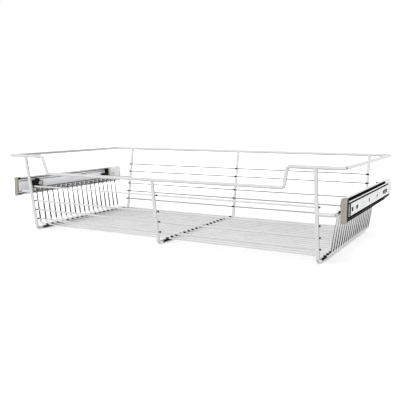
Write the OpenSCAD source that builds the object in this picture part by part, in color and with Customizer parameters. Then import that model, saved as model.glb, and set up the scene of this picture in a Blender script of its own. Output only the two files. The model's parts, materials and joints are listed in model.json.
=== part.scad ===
// Pull-out wire basket for a kitchen cabinet, on a pair of full-extension ball-bearing slides.
// Front is -Y, up is +Z, and the origin is on the floor plane under the middle of the basket.

/* [Basket] */
// Overall width over the rim
basket_w = 754; // [600:1:900]
// Overall depth over the rim
basket_d = 409; // [400:1:440]
// Overall height over the rim
basket_h = 171.5; // [155:0.5:220]
// How much further in the floor ends than the rim, at the front and at the rear
leg_lean = 27; // [15:1:35]
// Distance from the rim to an outer U frame, centre to centre
frame_inset = 47.5; // [40:0.5:60]
// Bend radius of the rim's corners
rim_corner_r = 10; // [7:0.5:35]
// Bend radius where a frame turns up from the floor
frame_bend_r = 7; // [5:0.5:18]

/* [Front dip] */
// Width of the dip at the height of the rim
dip_top_w = 554; // [440:1:570]
// Width of the dip at its bottom
dip_bottom_w = 539; // [400:1:545]
// How far the dip goes down, in the plane of the leaning legs
dip_drop = 37; // [28:1:45]
// Bend radius at the ends of the dip
dip_bend_r = 7; // [5:0.5:12]

/* [Wires] */
// Diameter of the rim, the frames and the rails
thick_d = 7; // [6:0.1:8]
// Diameter of the front, rear and cross wires
thin_d = 3.4; // [2.5:0.1:4]
// How deep a wire is fused into the wire that it is welded to
weld = 0.3; // [0.1:0.05:0.4]
// Height of the lowest front wire
front_wire_z = 25; // [20:0.5:30]
// Height of the lowest rear wire
rear_wire_z = 30; // [24:0.5:32]
// Rise from one wire of the lower group to the next
wire_rise = 21; // [15:0.5:22]
// Height of the top front wire
front_top_z = 100; // [96:0.5:105]
// Height of the first of the two top rear wires
rear_top_z = 105; // [98:0.5:115]
// Rise from the first to the second top rear wire
rear_top_rise = 20; // [12:0.5:28]
// How far the front and rear wires pass the outer frames
wire_end = 5; // [3.5:0.5:8]

/* [Cross wires] */
// Distance from one cross wire to the next
cross_pitch = 17.3; // [16:0.1:22]
// Least distance from the foot of a leg to a cross wire
cross_margin = 20; // [18:1:40]
// Distance from an outer frame to the foot of a cross wire's upright
cross_reach = 15; // [10:0.5:18]
// Bend radius at the foot of a cross wire's upright
cross_bend_r = 8; // [4:0.5:9]
// How far a cross wire's upright passes the middle of the rail
cross_end = 2.5; // [2:0.5:3.5]

/* [Side rails] */
// Height of the side rails
rail_z = 88.5; // [82:0.5:92]
// Distance from an outer frame to the rail
rail_reach = 31; // [28:0.5:36]
// Bend radius of a rail
rail_bend_r = 9; // [8:0.5:12]

/* [Slides] */
// Height of a slide
slide_h = 42; // [40:0.5:46]
// Thickness of a slide
slide_t = 12; // [12:0.1:13]
// Thickness of the sheet steel
sheet_t = 1.2; // [1:0.05:1.25]
// Distance from the middle of the rail to the slide's inner face
slide_gap = 9; // [8:0.5:11]
// Height of the slide's middle above the rail
slide_lift = 8.5; // [8:0.5:11]
// How far the drawer member starts behind the rail's front stub
slide_set_back = 2; // [1:0.5:5]
// Length of the drawer member
drawer_l = 380; // [370:1:420]
// Length of the intermediate member, with its bumper
intermediate_l = 376; // [360:1:400]
// Length of the cabinet member
cabinet_l = 373; // [350:1:400]
// How far the cabinet member's raised web stands out
web_step = 1; // [0.6:0.1:1.2]
// Height of the raised web
web_h = 18; // [16:0.2:22]
// Height of the slope beside the raised web
web_slope = 2.6; // [1.5:0.1:4]
// Bend radius of the raceway in the cabinet member
raceway_r = 5.4; // [5.2:0.1:6.2]
// Distance from the rear of the cabinet member to the tab that stops the ball cage
tab_end = 18; // [12:0.5:22]
// Width of the tab
tab_w = 8; // [6:0.5:10]
// Length of the window that the tab is bent out of
tab_window = 3; // [2.5:0.1:4]
// Height of the windows in the intermediate member, through which the screws are reached
access_h = 10; // [8:0.5:12]

/* [Balls and cages] */
// Diameter of the outer balls
outer_ball_d = 4; // [3.8:0.1:4.2]
// Diameter of the inner balls
inner_ball_d = 3.2; // [2.8:0.1:3.4]
// Running gap between a ball and its raceway
ball_gap = 0.1; // [0.05:0.01:0.15]
// Room above the outer balls, which the round of the raceway takes up
race_slack = 0.8; // [0.6:0.05:1]
// Thickness of a cage
cage_t = 0.6; // [0.5:0.05:0.7]
// Gap between a cage and the sheet beside it
cage_gap = 0.4; // [0.3:0.05:0.45]
// Balls in one row of a cage
balls = 9; // [6:1:10]
// Distance from one ball to the next
ball_pitch = 14; // [10:0.5:16]
// Front of the cages, behind the front of the drawer member
cage_start = 126; // [115:1:140]
// Gap between the edge of the drawer member's flange and the inner cage
flange_gap = 0.6; // [0.5:0.05:0.8]
// How far a cage reaches past the middle of its balls, as a share of their diameter
cage_reach = 0.8; // [0.7:0.05:0.85]
// Size of the slope between a cage's web and its flanges
cage_corner = 1.2; // [0.8:0.1:1.6]

/* [Bumpers and caps] */
// Length of the plastic bumper at the front of the intermediate member
bumper_l = 6.5; // [5:0.5:6.8]
// Gap between the bumper and the cabinet member
bumper_gap = 0.5; // [0.3:0.1:2]
// How far the bumper stays inside the slide's outline
bumper_inset = 1; // [0.6:0.1:1.4]
// Height of the bars over and under the bumper's window
bumper_bar = 5; // [4:0.5:7]
// Thickness of the front cap
cap_t = 3; // [2:0.5:5]
// Gap between the front cap and the bumper
cap_gap = 1; // [0.8:0.1:2]
// Width of the front cap
cap_w = 10; // [8:0.5:11]
// How far the cap stands over the slide at the top and the bottom
cap_over = 0.5; // [0:0.1:1]
// Length of the tongue that holds the cap in the drawer member
tongue_l = 12; // [8:1:20]
// Gap between the tongue and the drawer member
tongue_gap = 0.2; // [0.1:0.05:0.4]

/* [Clips] */
// Gap between a clip and the cross wires on both sides of it
clip_gap = 0.45; // [0.3:0.05:1]
// Wall of the hook under the rail
hook_wall = 2.4; // [1.6:0.1:3]
// Play of the rail wire in its hook
hook_play = 0.1; // [0.05:0.05:0.3]
// How far the hook's free side stands above the middle of the rail
hook_lip = 1.6; // [1:0.1:3]
// Thickness of a clip's plate on the slide
clip_plate_t = 4.5; // [3:0.1:5]
// Top of the front clip above the slide's middle
front_clip_top = 9; // [7:0.5:14]
// Top of the rear clip above the slide's middle
rear_clip_top = 18.5; // [14:0.5:21]
// Bottom of the clips below the slide's middle
clip_drop = 18; // [15:0.5:20]
// Diameter of the rivets
rivet_d = 3.2; // [2.4:0.1:4]
// Diameter of a rivet's head
rivet_head_d = 6; // [5:0.1:6.5]
// Thickness of a rivet's head
rivet_head_t = 1; // [0.6:0.1:1.2]
// Height of the rivets above the slide's middle
rivet_v = 3.5; // [2:0.5:5]
// Radial gap between a rivet or a pin and its hole
pin_play = 0.05; // [0.02:0.01:0.08]

/* [Rear plate and catch] */
// Thickness of the rear plate
plate_t = 1.5; // [1:0.1:2]
// Length of the rear plate
plate_l = 45; // [36:1:50]
// Distance from the plate's front end to its rivet
plate_rivet_start = 10; // [8:0.5:14]
// Distance from the rear clip to the plate
plate_gap = 5; // [3:0.5:8]
// Bottom of the rear plate below the slide's middle
plate_drop = 9; // [6:0.5:10]
// Top of the rear plate above the slide's middle
plate_top = 19; // [17:0.5:21]
// Diameter of the open holes in the plate
plate_hole_d = 4; // [3:0.1:5]
// Distance from the plate's rear end to its open holes
plate_hole_end = 7; // [5:0.5:9]
// Height of the lower open hole, below the slide's middle
plate_hole_drop = 2; // [0:0.5:4]
// Distance from the lower to the upper open hole
plate_hole_rise = 15; // [10:0.5:16]
// Length of the rear catch
catch_l = 24; // [18:1:30]
// Height of the catch's arm
catch_arm_h = 6; // [5:0.5:7]
// Height of the catch's underside above the slide's middle
catch_v = 0.5; // [0:0.5:2]
// Width of the catch's upright
catch_post_w = 7; // [5:0.5:9]
// Width of the catch across the basket
catch_t = 8; // [5:0.5:12]

/* [Release levers] */
// Length of a lever in front of its pin
lever_l = 17; // [12:0.5:18]
// Height of a lever
lever_h = 13; // [10:0.5:14]
// Height of a lever's pin above the slide's middle
lever_v = 4; // [3:0.5:6]
// Height of the spur behind a lever's top
spur_h = 4; // [2:0.5:6]
// Length of the spur
spur_l = 6.5; // [5:0.5:8]
// Width of a lever across the basket
lever_t = 10; // [6:0.5:11]
// Diameter of a lever's pin
pin_d = 3; // [2.4:0.1:3.6]
// Radius of the boss round the pin
boss_r = 4.5; // [3.5:0.1:5]
// Gap between a lever's boss and the front clip
lever_gap = 1; // [0.5:0.1:2]
// Gap between a lever and the slide
lever_side_gap = 0.5; // [0.3:0.1:1]

/* [Mounting holes] */
// Diameter of the mounting holes and width of the slots
mount_d = 5.2; // [4:0.1:5.6]
// Length of the slots
slot_l = 10; // [8:0.5:12]
// Height of the upright slots between the rear pair
upright_slot_h = 8; // [7:0.5:10]
// How far a window in the intermediate member reaches past the mounting holes on both sides
access_past = 8; // [6:0.5:10]
// Distance between the slots of a pair
slot_pair = 32; // [20:1:40]
// First slot behind the front of the cabinet member
first_slot = 22; // [14:1:40]
// First round hole behind the front of the cabinet member
first_hole = 150; // [120:1:170]
// Distance between the two round holes
hole_pair = 72; // [50:1:90]
// First slot of the rear pair behind the front of the cabinet member
rear_slot = 286; // [270:1:300]

/* [Hidden] */
$fn = 24;
eps = 0.01;
// A bend is this much thicker than the straight wire, and the straight ends reach this far into it
swell = 0.06;
bite = 0.4;
sides = ["left", "right"];
groups = ["front", "middle", "rear"];

// Rim and frames
rim_x = (basket_w - thick_d) / 2;
rim_y = (basket_d - thick_d) / 2;
rim_z = basket_h - thick_d / 2;
frame_x = rim_x - frame_inset;
foot_y = rim_y - leg_lean;
foot_z = thick_d / 2;
lean = atan(leg_lean / (rim_z - foot_z));
dip_z = rim_z - dip_drop;
dip_y = leg_y(dip_z);

// A wire that crosses another sits this far from it, centre to centre
thin_seat = (thick_d + thin_d) / 2 - weld;
front_zs = [front_wire_z, front_wire_z + wire_rise, front_wire_z + 2 * wire_rise, front_top_z];
rear_zs = [rear_wire_z, rear_wire_z + wire_rise, rear_wire_z + 2 * wire_rise,
           rear_top_z, rear_top_z + rear_top_rise];

// Rails and cross wires
rail_x = frame_x + rail_reach;
cross_z = foot_z + thin_seat;
cross_x = frame_x + cross_reach;
cross_top_x = rail_x - thin_seat;
cross_count = floor(2 * (foot_y - cross_margin) / cross_pitch) + 1;
cross_slope = (cross_top_x - cross_x) / (rail_z - cross_z);

// Slide, from its inner face outwards (u) and from its middle upwards (v)
slide_x = rail_x + slide_gap;
slide_z = rail_z + slide_lift;
half_t = sheet_t / 2;
drawer_y = -leg_y(rail_z) + slide_set_back;
intermediate_y = drawer_y;
cabinet_y = intermediate_y + bumper_l + bumper_gap;
slot_ys = [for (y = [first_slot, first_slot + slot_pair, rear_slot, rear_slot + slot_pair]) cabinet_y + y];
upright_ys = [for (i = [1, 2]) cabinet_y + rear_slot + i * slot_pair / 3];
hole_ys = [cabinet_y + first_hole, cabinet_y + first_hole + hole_pair];
cabinet_v = slide_h / 2 - half_t;
intermediate_v = cabinet_v - half_t - race_slack - outer_ball_d - ball_gap - half_t;
drawer_v = intermediate_v - 2 * half_t - inner_ball_d - 2 * ball_gap;
cabinet_u = slide_t - half_t;
ledge_u = cabinet_u - web_step;
outer_cage_u = ledge_u - half_t - cage_gap - cage_t / 2;
intermediate_u = outer_cage_u - cage_t / 2 - cage_gap - half_t;
inner_cage_u = intermediate_u - half_t - cage_gap - cage_t / 2;
flange_u = inner_cage_u - cage_t / 2 - flange_gap;
intermediate_bend_r = 2.2;
drawer_bend_r = 2;
lip_u = 2 * half_t;
outer_ball_v = intermediate_v + half_t + ball_gap + outer_ball_d / 2;
inner_ball_v = drawer_v + half_t + ball_gap + inner_ball_d / 2;
// The outer ball nests in the round of the raceway
nest = raceway_r - half_t - ball_gap - outer_ball_d / 2;
outer_ball_u = ledge_u - raceway_r + sqrt(pow(nest, 2) - pow(outer_ball_v - cabinet_v + raceway_r, 2));
inner_ball_u = (half_t + drawer_bend_r + flange_u) / 2;
cage_y = drawer_y + cage_start;
cage_l = (balls - 1) * ball_pitch + 2 * outer_ball_d;
ball_ys = [for (i = [0 : balls - 1]) cage_y + outer_ball_d + i * ball_pitch];
cap_y = drawer_y - cap_gap - cap_t;

// Clips sit between two cross wires, the second and third and the last two
clip_l = cross_pitch - thin_d - 2 * clip_gap;
front_clip_y = cross_y(1.5) - clip_l / 2;
rear_clip_y = cross_y(cross_count - 1.5) - clip_l / 2;
plate_y = rear_clip_y + clip_l + plate_gap;
catch_y = rear_clip_y - clip_gap - catch_l;
catch_peg_y = catch_y + catch_l / 2;
catch_peg_v = catch_v + catch_arm_h / 2;
lever_y = front_clip_y - lever_gap - boss_r;
rivet_ys = [front_clip_y + clip_l / 2, rear_clip_y + clip_l / 2, plate_y + plate_rivet_start];
// Corner radius of the flat plastic and sheet parts
corner_r = 2;

function both(name) = [for (side = sides) str(name, "_", side)];
function numbered(name, n) = [for (i = [1 : n]) str(name, "_", i)];

// Distance of the leaning legs from the middle, at height z
function leg_y(z) = foot_y + (z - foot_z) * tan(lean);
// Place of the wires that lie against the inside of the legs, at height z
function leg_wire_y(z) = leg_y(z) - thin_seat / cos(lean);
// Place of a cross wire, counted from the front; a half stands for the gap between two
function cross_y(i) = (i - (cross_count - 1) / 2) * cross_pitch;

function unit(v) = v / norm(v);
function turn(p, q, s) = acos(unit(q - p) * unit(s - q));
function set_back(p, q, s, r) = r * tan(turn(p, q, s) / 2);
// Two directions that stand square on v
function across(v) = unit(abs(v.x) < 0.9 * norm(v) ? cross(v, [1, 0, 0]) : cross(v, [0, 1, 0]));
// Places a shape with its own x, y and z along the given directions
function frame_at(o, x, y, z) =
    [[x.x, y.x, z.x, o.x], [x.y, y.y, z.y, o.y], [x.z, y.z, z.z, o.z], [0, 0, 0, 1]];

// Round bar from p to q
module rod(p, q, d) {
    z = unit(q - p);
    x = across(z);
    multmatrix(frame_at(p, x, cross(z, x), z)) cylinder(d = d, h = norm(q - p));
}

// Bend of a bar at q, between the bars from p and to s
module elbow(p, q, s, r, d) {
    a = unit(q - p);
    b = unit(s - q);
    half = turn(p, q, s) / 2;
    c = q + unit(b - a) * r / cos(half);
    x = unit(q - a * r * tan(half) - c);
    multmatrix(frame_at(c, x, a, cross(x, a)))
        rotate_extrude(angle = 2 * half) translate([r, 0]) circle(d = d);
}

// Bar bent along a path, with one bend radius per point; an open path ignores its first and last
module bent_wire(path, bends, d, closed = false) {
    n = len(path);
    backs = [for (i = [0 : n - 1])
        !closed && (i == 0 || i == n - 1) ? 0
        : set_back(path[(i + n - 1) % n], path[i], path[(i + 1) % n], bends[i])];
    for (i = [0 : closed ? n - 1 : n - 2]) {
        j = (i + 1) % n;
        along = unit(path[j] - path[i]);
        from = path[i] + along * max(backs[i] - bite, 0);
        to = path[j] - along * max(backs[j] - bite, 0);
        rod(from, to, d);
    }
    for (i = [0 : n - 1])
        if (backs[i] > 0)
            elbow(path[(i + n - 1) % n], path[i], path[(i + 1) % n], bends[i], d + swell);
}

// Points of a path whose corners are rounded, where bends gives a radius per point
function rounded(path, bends, steps = 6) = [for (i = [0 : len(path) - 1])
    each (bends[i] == 0 ? [path[i]] : corner_arc(path[i - 1], path[i], path[i + 1], bends[i], steps))];
function corner_arc(p, q, s, r, steps) =
    let (a = unit(q - p), b = unit(s - q), half = acos(a * b) / 2,
         c = q + unit(b - a) * r / cos(half), from = q - a * r * tan(half) - c)
    [for (i = [0 : steps]) let (t = 2 * half * i / steps) c + from * cos(t) + a * r * sin(t)];

// Left-hand normal of a path at point i, long enough to keep the sheet's thickness in a corner
function miter(path, i) =
    let (n = len(path),
         a = unit(path[min(i + 1, n - 1)] - path[min(i, n - 2)]),
         b = unit(path[max(i, 1)] - path[max(i - 1, 0)]),
         m = unit([-a.y - b.y, a.x + b.x]))
    m / (m * [-a.y, a.x]);

// Section of a sheet of thickness t bent along a path
module bent_sheet(path, t) {
    n = len(path);
    polygon([for (i = [0 : n - 1]) path[i] + miter(path, i) * t / 2,
             for (i = [n - 1 : -1 : 0]) path[i] - miter(path, i) * t / 2]);
}

// Path with its mirror image below the slide's middle
function doubled(path) = concat(path, [for (i = [len(path) - 1 : -1 : 0]) [path[i].x, -path[i].y]]);
function doubled_bends(bends) = concat(bends, [for (i = [len(bends) - 1 : -1 : 0]) bends[i]]);

// Section in the slide's own u and v, drawn out along the basket's depth
module along_slide(y, l)
    translate([slide_x, y + l, slide_z]) rotate([90, 0, 0]) linear_extrude(l) children();

// Round hole or pin across the slide at depth y and height v, from u0 to u1
module across_slide(y, v, u0, u1, d)
    translate([slide_x + u0, y, slide_z + v]) rotate([0, 90, 0]) cylinder(d = d, h = u1 - u0);

// Box in the slide's own measures
module slide_block(u0, u1, y0, y1, v0, v1)
    translate([slide_x + u0, y0, slide_z + v0]) cube([u1 - u0, y1 - y0, v1 - v0]);

// Rectangle with round corners about the origin
module round_rect(w, h, r) {
    square([w - 2 * r, h], center = true);
    square([w, h - 2 * r], center = true);
    for (x = [-1, 1], y = [-1, 1]) translate([x * (w / 2 - r), y * (h / 2 - r)]) circle(r);
}

module on(side) {
    if (side == "left") mirror([1, 0, 0]) children();
    else children();
}

// Wire basket

module rim() {
    color("gainsboro") bent_wire([
        [rim_x, rim_y, rim_z], [-rim_x, rim_y, rim_z], [-rim_x, -rim_y, rim_z],
        [-dip_top_w / 2, -rim_y, rim_z], [-dip_bottom_w / 2, -dip_y, dip_z],
        [dip_bottom_w / 2, -dip_y, dip_z], [dip_top_w / 2, -rim_y, rim_z], [rim_x, -rim_y, rim_z]
    ], [rim_corner_r, rim_corner_r, rim_corner_r, dip_bend_r, dip_bend_r, dip_bend_r, dip_bend_r,
        rim_corner_r], thick_d, closed = true);
}

// The legs end in a saddle round the wire of the rim
module rim_saddle(x, y, z)
    rod([x - thick_d, y, z], [x + thick_d, y, z], thick_d - 2 * weld);

// U-shaped wire under the basket, whose front leg ends at the rim or at the bottom of the dip
module frame(x, front_z) {
    color("gainsboro") difference() {
        bent_wire([[x, -leg_y(front_z), front_z], [x, -foot_y, foot_z], [x, foot_y, foot_z],
                   [x, rim_y, rim_z]], [0, frame_bend_r, frame_bend_r, 0], thick_d);
        rim_saddle(x, -leg_y(front_z), front_z);
        rim_saddle(x, rim_y, rim_z);
    }
}

// Straight wire across the legs, in front of or behind the load
module leg_wire(z, front) {
    x = frame_x + wire_end;
    y = (front ? -1 : 1) * leg_wire_y(z);
    color("silver") rod([-x, y, z], [x, y, z], thin_d);
}

// U-shaped wire over the floor and up to both rails
module cross_wire(y) {
    top_z = rail_z + cross_end;
    top_x = cross_top_x + cross_end * cross_slope;
    color("silver") bent_wire([[-top_x, y, top_z], [-cross_x, y, cross_z], [cross_x, y, cross_z],
                               [top_x, y, top_z]], [0, cross_bend_r, cross_bend_r, 0], thin_d);
}

module cross_wires(group) {
    for (i = [0 : cross_count - 1])
        if (groups[floor(i * len(groups) / cross_count)] == group) cross_wire(cross_y(i));
}

// Thick wire beside the basket, welded to the outer frame at the front and at the rear
module side_rail() {
    y = leg_y(rail_z);
    color("gainsboro") difference() {
        bent_wire([[frame_x, -y, rail_z], [rail_x, -y, rail_z], [rail_x, y, rail_z], [frame_x, y, rail_z]],
                  [0, rail_bend_r, rail_bend_r, 0], thick_d);
        for (s = [-1, 1])
            rod([frame_x, s * leg_y(rail_z - thick_d), rail_z - thick_d],
                [frame_x, s * leg_y(rail_z + thick_d), rail_z + thick_d], thick_d - 2 * weld);
    }
}

// Slides

// Hole with round ends through everything from u0 to u1, along the slide or upright
module oblong(y, l, d, u0, u1, upright = false) {
    run = (l - d) / 2;
    if (upright) {
        for (v = [-run, run]) across_slide(y, v, u0, u1, d);
        slide_block(u0, u1, y - d / 2, y + d / 2, -run, run);
    } else {
        for (s = [-run, run]) across_slide(y + s, 0, u0, u1, d);
        slide_block(u0, u1, y - run, y + run, -d / 2, d / 2);
    }
}

// Outer channel, fixed to the cabinet's side
module cabinet_member() {
    ledge_v = web_h / 2 + web_slope;
    path = [[lip_u, cabinet_v - 2 * lip_u - half_t], [lip_u, cabinet_v], [ledge_u, cabinet_v],
            [ledge_u, ledge_v], [cabinet_u, web_h / 2]];
    bends = [0, lip_u + half_t / 2, raceway_r, 0, 0];
    u0 = cabinet_u - 2 * half_t;
    u1 = cabinet_u + 2 * half_t;
    tab_y = cabinet_y + cabinet_l - tab_end;
    color("silver") {
        difference() {
            along_slide(cabinet_y, cabinet_l)
                bent_sheet(rounded(doubled(path), doubled_bends(bends)), sheet_t);
            for (y = slot_ys) oblong(y, slot_l, mount_d, u0, u1);
            for (y = hole_ys) across_slide(y, 0, u0, u1, mount_d);
            for (y = upright_ys) oblong(y, upright_slot_h, mount_d, u0, u1, upright = true);
            slide_block(u0, u1, tab_y, tab_y + tab_window, -tab_w / 2, tab_w / 2);
        }
        slide_block(outer_cage_u - cage_t / 2, cabinet_u, tab_y - sheet_t, tab_y, -tab_w / 2, tab_w / 2);
    }
}

// Middle channel, which runs on balls in both others
module intermediate_member() {
    path = [[lip_u, intermediate_v - lip_u - half_t / 2], [lip_u, intermediate_v],
            [intermediate_u, intermediate_v]];
    windows = [[slot_ys[0], slot_ys[1]], [hole_ys[0], hole_ys[0]], [slot_ys[2], slot_ys[3]]];
    color("silver") difference() {
        along_slide(intermediate_y, intermediate_l)
            bent_sheet(rounded(doubled(path), doubled_bends([0, 0, intermediate_bend_r])), sheet_t);
        for (w = windows)
            oblong((w[0] + w[1]) / 2, w[1] - w[0] + 2 * access_past, access_h, intermediate_u - sheet_t,
                   intermediate_u + sheet_t);
    }
}

// Plastic bumper round the front of the intermediate member, open over the middle of its web
module intermediate_bumper() {
    outer_v = slide_h / 2 - bumper_inset;
    inner_v = intermediate_v + half_t;
    window_v = inner_v - bumper_bar;
    color("#1c1c1e") difference() {
        along_slide(intermediate_y, bumper_l) difference() {
            translate([slide_t / 2, 0]) round_rect(slide_t - 2 * bumper_inset, 2 * outer_v, corner_r);
            translate([-slide_t, -inner_v]) square([slide_t + intermediate_u + half_t, 2 * inner_v]);
        }
        slide_block(intermediate_u + half_t - eps, slide_t, intermediate_y + bumper_inset,
                    intermediate_y + bumper_l / 2 + bumper_inset, -window_v, window_v);
    }
}

// Inner channel, which carries the basket
module drawer_member() {
    path = [[flange_u, drawer_v], [half_t, drawer_v]];
    hole = 2 * pin_play;
    color("silver") difference() {
        along_slide(drawer_y, drawer_l)
            bent_sheet(rounded(doubled(path), doubled_bends([0, drawer_bend_r])), sheet_t);
        for (y = rivet_ys) across_slide(y, rivet_v, -sheet_t, 2 * sheet_t, rivet_d + hole);
        across_slide(catch_peg_y, catch_peg_v, -sheet_t, 2 * sheet_t, pin_d + hole);
        across_slide(lever_y, lever_v, -sheet_t, 2 * sheet_t, pin_d);
        across_slide(plate_y + plate_l - plate_hole_end, -plate_hole_drop, -sheet_t, 2 * sheet_t,
                     plate_hole_d);
    }
}

// Cage round two rows of balls, which stand at row_u and row_v on both sides of the middle
module ball_cage(web_u, row_u, row_v, ball_d) {
    start_u = row_u - cage_reach * ball_d;
    path = [[start_u, row_v], [web_u - cage_corner, row_v], [web_u, row_v - cage_corner]];
    color("slategray") difference() {
        along_slide(cage_y, cage_l) bent_sheet(doubled(path), cage_t);
        for (y = ball_ys, s = [-1, 1])
            translate([slide_x + row_u, y, slide_z + s * row_v])
                cylinder(d = ball_d + 2 * ball_gap, h = ball_d / 2, center = true);
    }
}

module ball_rows(row_u, row_v, ball_d) {
    color("white") for (y = ball_ys, s = [-1, 1])
        translate([slide_x + row_u, y, slide_z + s * row_v]) sphere(d = ball_d);
}

module outer_ball_cage() ball_cage(outer_cage_u, outer_ball_u, outer_ball_v, outer_ball_d);
module outer_balls() ball_rows(outer_ball_u, outer_ball_v, outer_ball_d);
module inner_ball_cage() ball_cage(inner_cage_u, inner_ball_u, inner_ball_v, inner_ball_d);
module inner_balls() ball_rows(inner_ball_u, inner_ball_v, inner_ball_d);

// Fittings

// Cover over the front of the slide, with a tongue in the drawer member
module front_cap() {
    tongue_w = flange_u - sheet_t - 2 * tongue_gap;
    tongue_h = 2 * (drawer_v - half_t - tongue_gap);
    color("#9c9a8c") {
        along_slide(cap_y, cap_t) translate([cap_w / 2 + cap_over, 0])
            round_rect(cap_w, slide_h + 2 * cap_over, corner_r);
        along_slide(cap_y + cap_t - eps, drawer_y + tongue_l - cap_y - cap_t)
            translate([sheet_t + tongue_gap + tongue_w / 2, 0])
                round_rect(tongue_w, tongue_h, drawer_bend_r - half_t - tongue_gap);
    }
}

// Plate on the drawer member with a hook that holds the rail
module rail_clip(y, top) {
    groove_r = thick_d / 2 + hook_play;
    hook_r = groove_r + hook_wall;
    difference() {
        along_slide(y, clip_l) difference() {
            union() {
                translate([-clip_plate_t, -clip_drop]) square([clip_plate_t, clip_drop + top]);
                translate([-slide_gap, -slide_lift]) circle(hook_r);
                translate([-slide_gap, -slide_lift - hook_r]) square([slide_gap, hook_r + thick_d / 2]);
                translate([-slide_gap - hook_r, -slide_lift]) square([hook_wall, hook_lip]);
            }
            translate([-slide_gap, -slide_lift]) circle(groove_r);
            translate([-slide_gap - groove_r, -slide_lift]) square([2 * groove_r, slide_lift + top + eps]);
        }
        across_slide(y + clip_l / 2, rivet_v, -clip_plate_t - eps, eps, rivet_d + 2 * pin_play);
    }
}

module front_clip() color("#9c9a8c") rail_clip(front_clip_y, front_clip_top);
module rear_clip() color("#b4b4a8") rail_clip(rear_clip_y, rear_clip_top);

// Steel plate behind the rear clip, with two open holes
module rear_plate() {
    height = plate_drop + plate_top;
    hole_y = plate_y + plate_l - plate_hole_end;
    color("silver") difference() {
        translate([slide_x - plate_t, plate_y + plate_l / 2, slide_z - plate_drop + height / 2])
            rotate([90, 0, 90]) linear_extrude(plate_t) round_rect(plate_l, height, corner_r);
        for (v = [-plate_hole_drop, plate_hole_rise - plate_hole_drop])
            across_slide(hole_y, v, -plate_t - eps, eps, plate_hole_d);
        across_slide(plate_y + plate_rivet_start, rivet_v, -plate_t - eps, eps, rivet_d + 2 * pin_play);
    }
}

// Rivets through the two clips and the plate into the drawer member
module clip_rivets() {
    unders = [clip_plate_t, clip_plate_t, plate_t];
    color("silver") for (i = [0 : len(rivet_ys) - 1]) {
        across_slide(rivet_ys[i], rivet_v, -unders[i] - eps, sheet_t + eps, rivet_d);
        across_slide(rivet_ys[i], rivet_v, -unders[i] - rivet_head_t, -unders[i], rivet_head_d);
        across_slide(rivet_ys[i], rivet_v, sheet_t, sheet_t + rivet_head_t, rivet_head_d);
    }
}

// L-shaped plastic catch in front of the rear clip, held by a peg
module rear_catch() {
    post_y = catch_y + catch_l - catch_post_w;
    color("#1c1c1e") {
        slide_block(-catch_t, 0, catch_y, catch_y + catch_l, catch_v, catch_v + catch_arm_h);
        slide_block(-catch_t, 0, post_y, post_y + catch_post_w, catch_v, rear_clip_top);
        across_slide(catch_peg_y, catch_peg_v, -eps, sheet_t, pin_d);
    }
}

// Sprung lever that frees the drawer member, turning on its pin
module release_lever() {
    u0 = -lever_side_gap - lever_t;
    color("#1c1c1e") difference() {
        translate([slide_x + u0, 0, slide_z]) rotate([90, 0, 90]) linear_extrude(lever_t) {
            translate([lever_y, lever_v]) circle(boss_r);
            translate([lever_y - lever_l / 2, lever_v]) round_rect(lever_l, lever_h, corner_r);
            translate([lever_y - boss_r, lever_v]) square([spur_l, lever_h / 2 + spur_h]);
        }
        across_slide(lever_y, lever_v, u0 - eps, 0, pin_d + 2 * pin_play);
    }
}

// Pin with a head, riveted into the drawer member
module lever_pin() {
    u0 = -2 * lever_side_gap - lever_t;
    color("silver") {
        across_slide(lever_y, lever_v, u0, sheet_t, pin_d);
        across_slide(lever_y, lever_v, u0 - rivet_head_t, u0 + eps, rivet_head_d);
    }
}

rim();
frame(-frame_x, rim_z);  // frame_left
frame(0, dip_z);  // frame_middle
frame(frame_x, rim_z);  // frame_right
for (i = [0 : len(front_zs) - 1])
    leg_wire(front_zs[i], true);
for (i = [0 : len(rear_zs) - 1])
    leg_wire(rear_zs[i], false);
for (group = groups)
    cross_wires(group);
for (side = sides) {
    on(side) side_rail();
    on(side) cabinet_member();
    on(side) intermediate_member();
    on(side) intermediate_bumper();
    on(side) drawer_member();
    on(side) outer_ball_cage();
    on(side) outer_balls();
    on(side) inner_ball_cage();
    on(side) inner_balls();
    on(side) front_cap();
    on(side) front_clip();
    on(side) rear_clip();
    on(side) rear_catch();
    on(side) rear_plate();
    on(side) clip_rivets();
    on(side) release_lever();
    on(side) lever_pin();
}
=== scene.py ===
import json
import math
import bpy
import bmesh
from mathutils import Matrix, Vector

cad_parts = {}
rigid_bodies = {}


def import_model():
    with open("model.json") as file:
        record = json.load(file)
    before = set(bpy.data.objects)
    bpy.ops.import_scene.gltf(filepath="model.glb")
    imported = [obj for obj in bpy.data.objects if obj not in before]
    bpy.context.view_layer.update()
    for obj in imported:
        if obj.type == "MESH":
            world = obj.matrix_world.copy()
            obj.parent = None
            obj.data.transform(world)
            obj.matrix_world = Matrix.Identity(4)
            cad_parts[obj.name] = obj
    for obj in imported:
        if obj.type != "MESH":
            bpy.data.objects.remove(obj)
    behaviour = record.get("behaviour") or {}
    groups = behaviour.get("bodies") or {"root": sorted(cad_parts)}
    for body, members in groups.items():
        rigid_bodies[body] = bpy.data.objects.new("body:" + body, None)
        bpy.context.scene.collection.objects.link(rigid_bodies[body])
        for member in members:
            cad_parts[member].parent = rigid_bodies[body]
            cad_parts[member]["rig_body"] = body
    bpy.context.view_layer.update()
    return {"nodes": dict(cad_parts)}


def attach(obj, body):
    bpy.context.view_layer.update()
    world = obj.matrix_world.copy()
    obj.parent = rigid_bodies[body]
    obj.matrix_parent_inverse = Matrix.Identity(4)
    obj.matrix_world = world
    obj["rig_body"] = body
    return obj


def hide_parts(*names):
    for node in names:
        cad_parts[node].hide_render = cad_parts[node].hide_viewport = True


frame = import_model()
nodes = frame["nodes"]
sides = {"left": -1, "right": 1}

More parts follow.
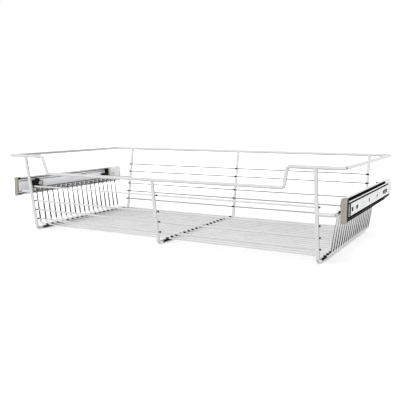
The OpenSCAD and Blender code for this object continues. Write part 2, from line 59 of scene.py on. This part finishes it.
# places that the looks share with the part, in metres
wires = {
    "thick": 0.007, "thin": 0.0034,
    "seat": 0.0049,  # between the axes of a thick and a thin wire that are welded together
    "frameX": 0.326, "footY": 0.174, "footZ": 0.0035, "rimY": 0.201, "rimZ": 0.168, "dipZ": 0.131,
    "railX": 0.357, "railZ": 0.0885, "endX": 0.331,
    "frontZ": (0.025, 0.046, 0.067, 0.100), "rearZ": (0.030, 0.051, 0.072, 0.105, 0.125),
    "crossPitch": 0.0173, "crossCount": 18, "crossZ": 0.0084, "crossFootX": 0.341, "crossTopX": 0.3521,
    "crossEnd": 0.0025,  # how far the uprights pass the axis of the side rail
}
slide = {
    "x": 0.366, "z": 0.0970,  # inner plane and middle height
    # front end of the outer member, and its holes measured back from there
    "frontY": -0.17895, "slotYs": (0.022, 0.054, 0.286, 0.318), "holeYs": (0.150, 0.222),
    "uprightYs": (0.29667, 0.30733),
}
frameXs = (-wires["frameX"], 0.0, wires["frameX"])
crossYs = [(i - (wires["crossCount"] - 1) / 2) * wires["crossPitch"] for i in range(wires["crossCount"])]
legLean = math.atan2(wires["rimY"] - wires["footY"], wires["rimZ"] - wires["footZ"])
uprightSlope = (wires["crossTopX"] - wires["crossFootX"]) / (wires["railZ"] - wires["crossZ"])


def legY(z):
    reach = wires["rimY"] - wires["footY"]
    return wires["footY"] + (z - wires["footZ"]) * reach / (wires["rimZ"] - wires["footZ"])


# node helpers for the materials
def newMaterial(name):
    material = bpy.data.materials.new(name)
    material.use_nodes = True
    return material, material.node_tree, material.node_tree.nodes["Principled BSDF"]


def place(tree):
    return tree.nodes.new("ShaderNodeTexCoord").outputs["Object"]


def stretch(tree, source, scale):
    mapping = tree.nodes.new("ShaderNodeMapping")
    mapping.inputs["Scale"].default_value = scale
    tree.links.new(source, mapping.inputs["Vector"])
    return mapping.outputs["Vector"]


def noise(tree, source, scale, detail=3.0):
    node = tree.nodes.new("ShaderNodeTexNoise")
    node.inputs["Scale"].default_value = scale
    node.inputs["Detail"].default_value = detail
    node.inputs["Roughness"].default_value = 0.55
    tree.links.new(source, node.inputs["Vector"])
    return node.outputs["Fac"]


def spread(tree, source, low, high, toLow, toHigh, smooth=False):
    node = tree.nodes.new("ShaderNodeMapRange")
    node.interpolation_type = "SMOOTHSTEP" if smooth else "LINEAR"
    for name, value in (("From Min", low), ("From Max", high), ("To Min", toLow), ("To Max", toHigh)):
        node.inputs[name].default_value = value
    tree.links.new(source, node.inputs["Value"])
    return node.outputs["Result"]


def fillSocket(tree, socket, value):
    if isinstance(value, tuple):
        socket.default_value = value + (1.0,)
    elif isinstance(value, (int, float)):
        socket.default_value = value
    else:
        tree.links.new(value, socket)


def maths(tree, operation, first, second=0.0):
    node = tree.nodes.new("ShaderNodeMath")
    node.operation = operation
    fillSocket(tree, node.inputs[0], first)
    fillSocket(tree, node.inputs[1], second)
    return node.outputs["Value"]


def mixColours(tree, factor, first, second):
    node = tree.nodes.new("ShaderNodeMix")
    node.data_type = "RGBA"
    for name, value in (("Factor", factor), ("A", first), ("B", second)):
        fillSocket(tree, node.inputs[name], value)
    return [o for o in node.outputs if o.type == "RGBA"][0]


def bump(tree, shader, height, distance, strength):
    node = tree.nodes.new("ShaderNodeBump")
    node.inputs["Distance"].default_value = distance
    node.inputs["Strength"].default_value = strength
    tree.links.new(height, node.inputs["Height"])
    tree.links.new(node.outputs["Normal"], shader.inputs["Normal"])


def axes(tree, source):
    node = tree.nodes.new("ShaderNodeSeparateXYZ")
    tree.links.new(source, node.inputs["Vector"])
    return node.outputs["X"], node.outputs["Y"], node.outputs["Z"]


def nearest(tree, source, places, reach, soft):
    total = None  # 1 within reach of any of the places, 0 away from them
    for at in places:
        away = maths(tree, "ABSOLUTE", maths(tree, "SUBTRACT", source, at))
        near = spread(tree, away, reach - soft, reach + soft, 1.0, 0.0, True)
        total = near if total is None else maths(tree, "MAXIMUM", total, near)
    return total


def between(tree, source, low, high, soft):
    rise = spread(tree, source, low - soft, low + soft, 0.0, 1.0, True)
    fall = spread(tree, source, high - soft, high + soft, 1.0, 0.0, True)
    return maths(tree, "MULTIPLY", rise, fall)


# how much of a noise's middle range a tint or a gloss follows
follow = {"tint": (0.35, 0.65), "gloss": (0.3, 0.7), "thin": (0.3, 0.6)}

# chrome plate, with painted shade and painted dark reflections in the corners beside the welds and where it
# faces another wire
chrome = {
    "bright": (0.93, 0.93, 0.935), "dull": (0.86, 0.86, 0.865), "rearTone": 0.62, "rough": (0.05, 0.12),
    # thin: the near-black colour of the painted shade and painted dark reflections; the next keys set their
    # roughness, patchiness and patch size
    "thin": (0.006, 0.006, 0.006), "paintedShadeRough": 0.45, "paintedShadeLeast": 0.90,
    "cloudScale": 24.0, "paintedShadeScale": 420.0, "peelScale": 260.0, "peelDepth": 0.00004, "peelStrength": 0.35,
}


def chromeMaterial(name, paintedShadeMask=None, tone=1.0):
    material, tree, shader = newMaterial(name)
    here = place(tree)
    clouds = noise(tree, here, chrome["cloudScale"])
    # tone below 1 gives a darker copy of the chrome, used as painted shade on the rear wires
    dull, bright = [tuple(c * tone for c in chrome[key]) for key in ("dull", "bright")]
    colour = mixColours(tree, spread(tree, clouds, *follow["tint"], 0.0, 1.0), dull, bright)
    rough = spread(tree, clouds, *follow["gloss"], chrome["rough"][1], chrome["rough"][0])
    # painted shade and painted dark reflections: where the mask is set, the chrome turns near black and rough
    # and loses its bright reflection
    if paintedShadeMask:
        thin = paintedShadeMask(tree, *axes(tree, here))
        patches = noise(tree, here, chrome["paintedShadeScale"])
        patches = spread(tree, patches, *follow["thin"], chrome["paintedShadeLeast"], 1.0)
        thin = maths(tree, "MULTIPLY", thin, patches)
        tint = mixColours(tree, thin, (1.0, 1.0, 1.0), chrome["thin"])
        tree.links.new(tint, shader.inputs["Specular Tint"])
        colour = mixColours(tree, thin, colour, chrome["thin"])
        rough = maths(tree, "MAXIMUM", rough, maths(tree, "MULTIPLY", thin, chrome["paintedShadeRough"]))
    tree.links.new(colour, shader.inputs["Base Color"])
    tree.links.new(rough, shader.inputs["Roughness"])
    shader.inputs["Metallic"].default_value = 1.0
    peel = noise(tree, here, chrome["peelScale"], 2.0)
    bump(tree, shader, peel, chrome["peelDepth"], chrome["peelStrength"])
    return material


# the dark spots on the thin wires, painted shade and painted dark reflections, as x from the axis of each
# frame
paintedMarks = {"front": (-0.0010, 0.0070), "rear": (-0.0030, 0.0040), "floor": (0.0022, 0.0086), "soft": 0.0008}
# the bare sheared ends of the front wires, as x back from the end
shearedEnd = (0.0003, 0.0001)
# painted shade and painted dark reflections on the sides of the frames' floor bars: heights, and how far they
# reach to the front and the rear
barShade = {
    "low": 0.0008, "high": 0.0061, "soft": 0.0005, "front": -0.160, "rear": 0.155, "endSoft": 0.003,
}
# painted shade and painted dark reflections on the inward side of the uprights, wider near the floor
uprightShade = {
    "startZ": (0.012, 0.018), "floorEndZ": (0.012, 0.014), "edge": (-0.0001, 0.0005),
    "widerZ": (0.024, 0.060), "wider": (0.0006, -0.0003), "fadeZ": (0.030, 0.085), "fadeTo": 0.85,
}
# the side rails: painted shade and painted dark reflections, a line on top and spots underneath between the
# uprights; heights from the axis
railShade = {
    "top": (0.0018, 0.0060), "under": (-0.0034, -0.0008), "soft": 0.0006,
    "spot": 0.0052, "spotSoft": 0.0012, "endY": 0.165, "endSoft": 0.004,
}


def paintedMarksBesideFrames(tree, x, kind):
    low, high = paintedMarks[kind]
    return nearest(tree, x, [at + (low + high) / 2 for at in frameXs], (high - low) / 2, paintedMarks["soft"])


# the bare sheared ends, and painted shade and painted dark reflections beside the frames
def frontWireEndsAndPaintedShade(tree, x, y, z):
    low, high = [wires["endX"] - back for back in shearedEnd]
    ends = spread(tree, maths(tree, "ABSOLUTE", x), low, high, 0.0, 1.0)
    return maths(tree, "MAXIMUM", ends, paintedMarksBesideFrames(tree, x, "front"))


def rearWirePaintedShade(tree, x, y, z):
    return paintedMarksBesideFrames(tree, x, "rear")


def framePaintedShade(tree, x, y, z):
    lower = between(tree, z, barShade["low"], barShade["high"], barShade["soft"])
    reach = between(tree, y, barShade["front"], barShade["rear"], barShade["endSoft"])
    return maths(tree, "MULTIPLY", lower, reach)


def crossPaintedShade(tree, x, y, z):
    footX = wires["crossFootX"] - wires["crossZ"] * uprightSlope
    axis = maths(tree, "ADD", maths(tree, "MULTIPLY", z, uprightSlope), footX)
    inward = maths(tree, "SUBTRACT", axis, maths(tree, "ABSOLUTE", x))
    inward = maths(tree, "ADD", inward, spread(tree, z, *uprightShade["widerZ"], *uprightShade["wider"]))
    inward = spread(tree, inward, *uprightShade["edge"], 0.0, 1.0)
    inward = maths(tree, "MULTIPLY", inward, spread(tree, z, *uprightShade["startZ"], 0.0, 1.0, True))
    fade = spread(tree, z, *uprightShade["fadeZ"], 1.0, uprightShade["fadeTo"])
    inward = maths(tree, "MULTIPLY", inward, fade)
    floor = spread(tree, z, *uprightShade["floorEndZ"], 1.0, 0.0)
    return maths(tree, "MAXIMUM", inward, maths(tree, "MULTIPLY", paintedMarksBesideFrames(tree, x, "floor"), floor))


def railPaintedShade(tree, x, y, z):
    top, under = [between(tree, z, *[wires["railZ"] + rise for rise in railShade[key]], railShade["soft"])
                  for key in ("top", "under")]
    gaps = [at - wires["crossPitch"] / 2 for at in crossYs]
    under = maths(tree, "MULTIPLY", under, nearest(tree, y, gaps, railShade["spot"], railShade["spotSoft"]))
    reach = between(tree, y, -railShade["endY"], railShade["endY"], railShade["endSoft"])
    return maths(tree, "MULTIPLY", maths(tree, "MAXIMUM", top, under), reach)


# zinc-plated sheet, rolled along the slide; the bends and holes of the outer member get painted shade and
# painted dark reflections, near black
sheet = {
    "bright": (0.84, 0.845, 0.85), "dull": (0.74, 0.745, 0.755), "rough": (0.20, 0.32), "metal": 0.5,
    "innerRough": (0.34, 0.46), "innerMetal": 0.15, "rivetTone": 0.6, "gloss": 0.5,
    "grain": (70.0, 3.0, 70.0), "grainScale": 9.0, "cloudScale": 30.0, "scratch": 0.000015,
    "scratchStrength": 0.3,
    # the painted shade starts this far outwards from the inner plane of the slide
    "smoke": (0.004, 0.004, 0.004), "paintedShadeFrom": (0.004, 0.005), "soft": 0.0004,
    # low edge, high edge, front end, rear end and softness of the ends of each painted dark band
    "outerBends": (
        (0.0103, 0.0134, -0.2, 0.165, 0.008), (0.0154, 0.0202, -0.2, 0.136, 0.008),
        (-0.0152, -0.0100, -0.2, 0.178, 0.008), (-0.0230, -0.0150, -0.2, 0.136, 0.008),
        (-0.0100, 0.0103, -0.1773, -0.1680, 0.0004),
    ),
    # half height and half length of the painted dark shade round each kind of hole
    "slotEdge": (0.0037, 0.0060), "holeEdge": (0.0034, 0.0034), "uprightEdge": (0.0050, 0.0034),
}


def holeEdges():
    edges = []
    for places, size in (("slotYs", "slotEdge"), ("holeYs", "holeEdge"), ("uprightYs", "uprightEdge")):
        high, far = sheet[size]
        for y in slide[places]:
            middle = slide["frontY"] + y
            edges.append((-high, high, middle - far, middle + far, sheet["soft"]))
    return tuple(edges)


def sheetMaterial(name, bands, metal, rough, tone=1.0):
    material, tree, shader = newMaterial(name)
    here = place(tree)
    rolled = noise(tree, stretch(tree, here, sheet["grain"]), sheet["grainScale"], 4.0)
    clouds = noise(tree, here, sheet["cloudScale"])
    dull, bright = [tuple(c * tone for c in sheet[key]) for key in ("dull", "bright")]
    colour = mixColours(tree, spread(tree, rolled, *follow["tint"], 0.0, 1.0), dull, bright)
    # painted shade and painted dark reflections: inside the bands the sheet turns near black and loses its
    # metal and its reflection
    if bands:
        across, along, height = axes(tree, here)
        height = maths(tree, "SUBTRACT", height, slide["z"])
        smoke = None
        for low, high, front, rear, fade in bands:
            band = maths(tree, "MULTIPLY", between(tree, height, low, high, sheet["soft"]),
                         between(tree, along, front, rear, fade))
            smoke = band if smoke is None else maths(tree, "MAXIMUM", smoke, band)
        outside = maths(tree, "SUBTRACT", maths(tree, "ABSOLUTE", across), slide["x"])
        smoke = maths(tree, "MULTIPLY", smoke, spread(tree, outside, *sheet["paintedShadeFrom"], 0.0, 1.0))
        colour = mixColours(tree, smoke, colour, sheet["smoke"])
        gloss = spread(tree, smoke, 0.0, 1.0, sheet["gloss"], 0.0)
        tree.links.new(gloss, shader.inputs["Specular IOR Level"])
        tree.links.new(spread(tree, smoke, 0.0, 1.0, metal, 0.0), shader.inputs["Metallic"])
    else:
        shader.inputs["Metallic"].default_value = metal
    tree.links.new(colour, shader.inputs["Base Color"])
    tree.links.new(spread(tree, clouds, *follow["gloss"], *rough), shader.inputs["Roughness"])
    bump(tree, shader, rolled, sheet["scratch"], sheet["scratchStrength"])
    return material


# moulded plastic with a fine grain and slightly uneven gloss
plastic = {
    "beige": {"tints": ((0.272, 0.260, 0.214), (0.242, 0.231, 0.190)), "rough": (0.38, 0.52), "gloss": 0.4},
    "pale": {"tints": ((0.52, 0.52, 0.47), (0.47, 0.47, 0.42)), "rough": (0.36, 0.5), "gloss": 0.5},
    "black": {"tints": ((0.004, 0.004, 0.0045), (0.008, 0.008, 0.009)), "rough": (0.40, 0.55), "gloss": 0.12},
    "cloudScale": 45.0, "grainScale": 900.0, "grainDepth": 0.00005, "grainStrength": 0.35,
}


def plasticMaterial(kind):
    look = plastic[kind]
    material, tree, shader = newMaterial(kind + "Plastic")
    here = place(tree)
    clouds = noise(tree, here, plastic["cloudScale"])
    fine = noise(tree, here, plastic["grainScale"], 2.0)
    tint = mixColours(tree, spread(tree, clouds, *follow["gloss"], 0.0, 1.0), *look["tints"])
    tree.links.new(tint, shader.inputs["Base Color"])
    tree.links.new(spread(tree, fine, *follow["gloss"], *look["rough"]), shader.inputs["Roughness"])
    shader.inputs["Specular IOR Level"].default_value = look["gloss"]
    bump(tree, shader, fine, plastic["grainDepth"], plastic["grainStrength"])
    return material


wireChrome = chromeMaterial("wireChrome")
frameChrome = chromeMaterial("frameChrome", framePaintedShade)
railChrome = chromeMaterial("railChrome", railPaintedShade)
crossChrome = chromeMaterial("crossChrome", crossPaintedShade)
frontWireChrome = chromeMaterial("frontWireChrome", frontWireEndsAndPaintedShade)
# the rear wires get a darker copy of the chrome as painted shade
rearWireChrome = chromeMaterial("rearWireChrome", rearWirePaintedShade, chrome["rearTone"])
outerSheet = sheetMaterial("outerSheet", sheet["outerBends"] + holeEdges(), sheet["metal"], sheet["rough"])
plainSheet = sheetMaterial("plainSheet", (), sheet["innerMetal"], sheet["innerRough"])
rivetSteel = sheetMaterial("rivetSteel", (), sheet["innerMetal"], sheet["innerRough"], sheet["rivetTone"])
ballSteel = chromeMaterial("ballSteel")
beigePlastic = plasticMaterial("beige")
palePlastic = plasticMaterial("pale")
blackPlastic = plasticMaterial("black")

finishes = {
    "rim": wireChrome, "frame": frameChrome, "front_wire": frontWireChrome, "rear_wire": rearWireChrome,
    "cross_wires": crossChrome, "side_rail": railChrome, "cabinet_member": outerSheet,
    "intermediate_member": plainSheet, "drawer_member": plainSheet, "outer_ball_cage": plainSheet,
    "inner_ball_cage": plainSheet, "outer_balls": ballSteel, "inner_balls": ballSteel,
    "front_cap": beigePlastic, "front_clip": beigePlastic, "rear_clip": palePlastic,
    "intermediate_bumper": blackPlastic, "rear_catch": blackPlastic, "release_lever": blackPlastic,
    "rear_plate": plainSheet, "clip_rivets": rivetSteel, "lever_pin": rivetSteel,
}
for name, node in nodes.items():
    found = [m for key, m in finishes.items() if name == key or name.startswith(key + "_")]
    if not found:
        raise SystemExit("no finish for " + name)
    if not node.material_slots:
        node.data.materials.append(None)
    for slot in node.material_slots:
        slot.link = "OBJECT"
        slot.material = found[0]
print("materials on", len(nodes), "nodes")


def finishPiece(work, name, material, body, sharp):
    mesh = bpy.data.meshes.new(name)
    work.to_mesh(mesh)
    work.free()
    mesh.materials.append(material)
    mesh.shade_smooth()
    mesh.set_sharp_from_angle(angle=math.radians(sharp))
    piece = bpy.data.objects.new(name, mesh)
    bpy.context.scene.collection.objects.link(piece)
    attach(piece, body)
    return piece


# the moulded and riveted fittings keep the part's shape and get rounded edges:
# width and segments of the rounding, and the material slot
fittings = {
    "front_cap": (0.0009, 3, "beige_plastic"), "front_clip": (0.0005, 2, "beige_plastic"),
    "rear_clip": (0.0005, 2, "pale_plastic"), "intermediate_bumper": (0.0003, 2, "black_plastic"),
    "rear_catch": (0.0006, 2, "black_plastic"), "release_lever": (0.0008, 3, "black_plastic"),
    "rear_plate": (0.0003, 2, "zinc_sheet"), "clip_rivets": (0.0006, 3, "zinc_sheet"),
    "lever_pin": (0.0006, 3, "zinc_sheet"),
}
rounding = {"merge": 0.000002, "flatAngle": 1, "edgeAngle": 40, "sharp": 35}


def roundFitting(kind, side):
    width, segments, slotName = fittings[kind]
    node = nodes[kind + "_" + side]
    work = bmesh.new()
    work.from_mesh(node.data)
    bmesh.ops.remove_doubles(work, verts=work.verts, dist=rounding["merge"])
    flat, corner = math.radians(rounding["flatAngle"]), math.radians(rounding["edgeAngle"])
    bmesh.ops.dissolve_limit(work, angle_limit=flat, verts=work.verts, edges=work.edges)
    edges = [e for e in work.edges if len(e.link_faces) == 2 and e.calc_face_angle() > corner]
    bmesh.ops.bevel(work, geom=edges, offset=width, segments=segments, profile=0.5, affect="EDGES",
                    material=-1, clamp_overlap=True)
    bmesh.ops.recalc_face_normals(work, faces=work.faces)
    words = kind.split("_")
    name = words[0] + "".join(w.capitalize() for w in words[1:]) + side.capitalize()
    piece = finishPiece(work, name, finishes[kind], node["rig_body"], rounding["sharp"])
    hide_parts(kind + "_" + side)


for kind in fittings:
    for side in sides:
        roundFitting(kind, side)
print("fittings")

# resistance welds, drawn as low nuggets in the corner between two wires: half sizes in x, y and z
welds = {
    "crossing": (0.0030, 0.0030, 0.0014), "leg": (0.0034, 0.0015, 0.0024), "rail": (0.0015, 0.0026, 0.0026),
    "saddle": (0.0045, 0.0034, 0.0014), "corner": (0.0014, 0.0045, 0.0034),
    # where they sit: below the rim or dip, outwards from a leg, inwards of the rail, and how far to the seat
    "saddleDrop": 0.0034, "cornerOut": 0.0034, "railIn": 0.0008, "legSeat": 0.68,
    "around": 8, "down": 5, "sharp": 80,
}
weldChrome = chromeMaterial("weldChrome")


def addNugget(work, at, kind, turn=Matrix.Identity(4)):
    where = Matrix.Translation(at) @ turn @ Matrix.Diagonal((*welds[kind], 1.0))
    bmesh.ops.create_uvsphere(work, u_segments=welds["around"], v_segments=welds["down"], radius=1.0,
                              matrix=where)


def buildWelds():
    work = bmesh.new()
    railMiddle = (wires["crossTopX"] + wires["railX"]) / 2 - welds["railIn"]
    for y in crossYs:
        for x in frameXs:
            addNugget(work, (x, y, wires["thick"]), "crossing")
        for s in sides.values():
            addNugget(work, (s * railMiddle, y, wires["railZ"]), "rail")
    for s, heights in ((-1, wires["frontZ"]), (1, wires["rearZ"])):
        for z in heights:
            y = legY(z) - wires["seat"] / math.cos(legLean) * welds["legSeat"]
            for x in frameXs:
                addNugget(work, (x, s * y, z), "leg", Matrix.Rotation(-s * legLean, 4, "X"))
    underRim = wires["rimZ"] - welds["saddleDrop"]
    for x in (frameXs[0], frameXs[2]):
        for s in (-1, 1):
            addNugget(work, (x, s * wires["rimY"], underRim), "saddle")
            cornerX = x + math.copysign(welds["cornerOut"], x)
            addNugget(work, (cornerX, s * legY(wires["railZ"]), wires["railZ"]), "corner")
    addNugget(work, (0, -legY(wires["dipZ"]), wires["dipZ"] - welds["saddleDrop"]), "saddle")
    addNugget(work, (0, wires["rimY"], underRim), "saddle")
    finishPiece(work, "welds", weldChrome, "basket", welds["sharp"])


# the ends of the thin wires are sheared and tumbled round
tips = {"height": 0.0006, "around": 12, "down": 6, "sharp": 80}


def addTip(work, where):
    bmesh.ops.create_uvsphere(work, u_segments=tips["around"], v_segments=tips["down"], radius=1.0,
                              matrix=where)


def buildTips():
    work = bmesh.new()
    r = wires["thin"] / 2
    for s, heights in ((-1, wires["frontZ"]), (1, wires["rearZ"])):
        for z in heights:
            y = s * (legY(z) - wires["seat"] / math.cos(legLean))
            for x in (-wires["endX"], wires["endX"]):
                where = Matrix.Translation((x, y, z)) @ Matrix.Diagonal((tips["height"], r, r, 1.0))
                addTip(work, where @ Matrix.Rotation(math.pi / 2, 4, "Y"))
    topX = wires["crossTopX"] + wires["crossEnd"] * uprightSlope
    for y in crossYs:
        for s in sides.values():
            where = Matrix.Translation((s * topX, y, wires["railZ"] + wires["crossEnd"]))
            where = where @ Matrix.Rotation(s * math.atan(uprightSlope), 4, "Y")
            addTip(work, where @ Matrix.Diagonal((r, r, tips["height"], 1.0)))
    finishPiece(work, "wireTips", weldChrome, "basket", tips["sharp"])


buildWelds()
buildTips()
print("welds and wire ends")

# pale paper floor that fades into the white round it
floorLook = {
    "radius": 6.0, "around": 96, "drop": 0.0006, "dark": (0.86, 0.86, 0.86), "light": (0.87, 0.87, 0.87),
    "grainScale": 3.0, "fade": (0.50, 1.0), "glow": 0.06,
}


def buildFloor():
    mesh = bpy.data.meshes.new("floor")
    work = bmesh.new()
    bmesh.ops.create_circle(work, cap_ends=True, segments=floorLook["around"], radius=floorLook["radius"])
    work.to_mesh(mesh)
    work.free()
    floor = bpy.data.objects.new("floor", mesh)
    floor.location.z = -floorLook["drop"]
    bpy.context.scene.collection.objects.link(floor)
    material, tree, shader = newMaterial("floorPaper")
    here = place(tree)
    grain = noise(tree, here, floorLook["grainScale"])
    paper = mixColours(tree, grain, floorLook["dark"], floorLook["light"])
    shader.inputs["Specular IOR Level"].default_value = 0.0
    shader.inputs["Roughness"].default_value = 1.0
    tree.links.new(paper, shader.inputs["Base Color"])
    length = tree.nodes.new("ShaderNodeVectorMath")
    length.operation = "LENGTH"
    tree.links.new(here, length.inputs[0])
    glow = spread(tree, length.outputs["Value"], *floorLook["fade"], floorLook["glow"], 1.0, True)
    shader.inputs["Emission Color"].default_value = (1.0, 1.0, 1.0, 1.0)
    tree.links.new(glow, shader.inputs["Emission Strength"])
    mesh.materials.append(material)
    floor.visible_glossy = False


# the room as the chrome mirrors it: brightness by height, one dark patch, and a dark strip of backdrop
# above the horizon behind the basket; the camera itself sees plain white
room = {
    "above": 0.88, "horizon": 0.84, "below": 0.55, "belowZ": (-0.95, -0.35), "aboveZ": (0.0, 0.3),
    "patch": {"towards": (0.80, 0.60, -0.10), "inner": 9, "outer": 24, "level": 0.06},
    "stripZ": (0.34, 0.60, 0.10), "stripY": (0.2, 0.5), "stripDepth": 0.60,
}


def buildWorld():
    world = bpy.data.worlds.new("studioWorld")
    bpy.context.scene.world = world
    world.use_nodes = True
    tree = world.node_tree
    tree.nodes.clear()
    out = tree.nodes.new("ShaderNodeOutputWorld")
    ray = tree.nodes.new("ShaderNodeLightPath")
    direction = tree.nodes.new("ShaderNodeTexCoord").outputs["Generated"]
    y, z = axes(tree, direction)[1:]
    level = spread(tree, z, *room["belowZ"], room["below"], room["horizon"], True)
    lift = spread(tree, z, *room["aboveZ"], 0.0, room["above"] - room["horizon"], True)
    level = maths(tree, "ADD", level, lift)
    patch = room["patch"]
    dot = tree.nodes.new("ShaderNodeVectorMath")
    dot.operation = "DOT_PRODUCT"
    dot.inputs[1].default_value = Vector(patch["towards"]).normalized()
    tree.links.new(direction, dot.inputs[0])
    edge, core = math.cos(math.radians(patch["outer"])), math.cos(math.radians(patch["inner"]))
    shade = spread(tree, dot.outputs["Value"], edge, core, 1.0, patch["level"], True)
    level = maths(tree, "MULTIPLY", level, shade)
    strip = maths(tree, "MULTIPLY", between(tree, z, *room["stripZ"]),
                  spread(tree, y, *room["stripY"], 0.0, 1.0, True))
    level = maths(tree, "MULTIPLY", level, spread(tree, strip, 0.0, 1.0, 1.0, 1.0 - room["stripDepth"]))
    level = maths(tree, "MAXIMUM", level, ray.outputs["Is Camera Ray"])
    background = tree.nodes.new("ShaderNodeBackground")
    tree.links.new(level, background.inputs["Color"])
    tree.links.new(background.outputs["Background"], out.inputs["Surface"])


lights = {
    "keyLight": {"at": (-1.3, -1.9, 2.4), "towards": (0, 0, 0.08), "size": (1.8, 1.2), "power": 42},
    "fillLight": {"at": (2.4, -1.2, 1.3), "towards": (0, 0, 0.08), "size": (1.4, 1.4), "power": 14},
    "topLight": {"at": (0.1, 0.3, 3.0), "towards": (0, 0, 0), "size": (2.6, 2.0), "power": 30},
}


def addLight(name, look):
    data = bpy.data.lights.new(name, "AREA")
    data.shape = "RECTANGLE"
    data.size, data.size_y = look["size"]
    data.energy = look["power"]
    light = bpy.data.objects.new(name, data)
    light.location = look["at"]
    aim = Vector(look["towards"]) - Vector(look["at"])
    light.rotation_euler = aim.to_track_quat("-Z", "Y").to_euler()
    light.visible_glossy = False
    bpy.context.scene.collection.objects.link(light)


buildFloor()
buildWorld()
for name, look in lights.items():
    addLight(name, look)
bpy.context.scene.view_settings.view_transform = "Standard"
print("studio")

# camera at the photo's place
view = {"at": (0.60167, -1.09911, 0.24299), "pitch": 82.04, "yaw": 28.71, "lens": 50.605, "sensor": 36.0}
cameraData = bpy.data.cameras.new("camera")
cameraData.lens = view["lens"]
cameraData.sensor_width = view["sensor"]
camera = bpy.data.objects.new("camera", cameraData)
camera.location = view["at"]
camera.rotation_euler = (math.radians(view["pitch"]), 0, math.radians(view["yaw"]))
bpy.context.scene.collection.objects.link(camera)
bpy.context.scene.camera = camera
print("camera")
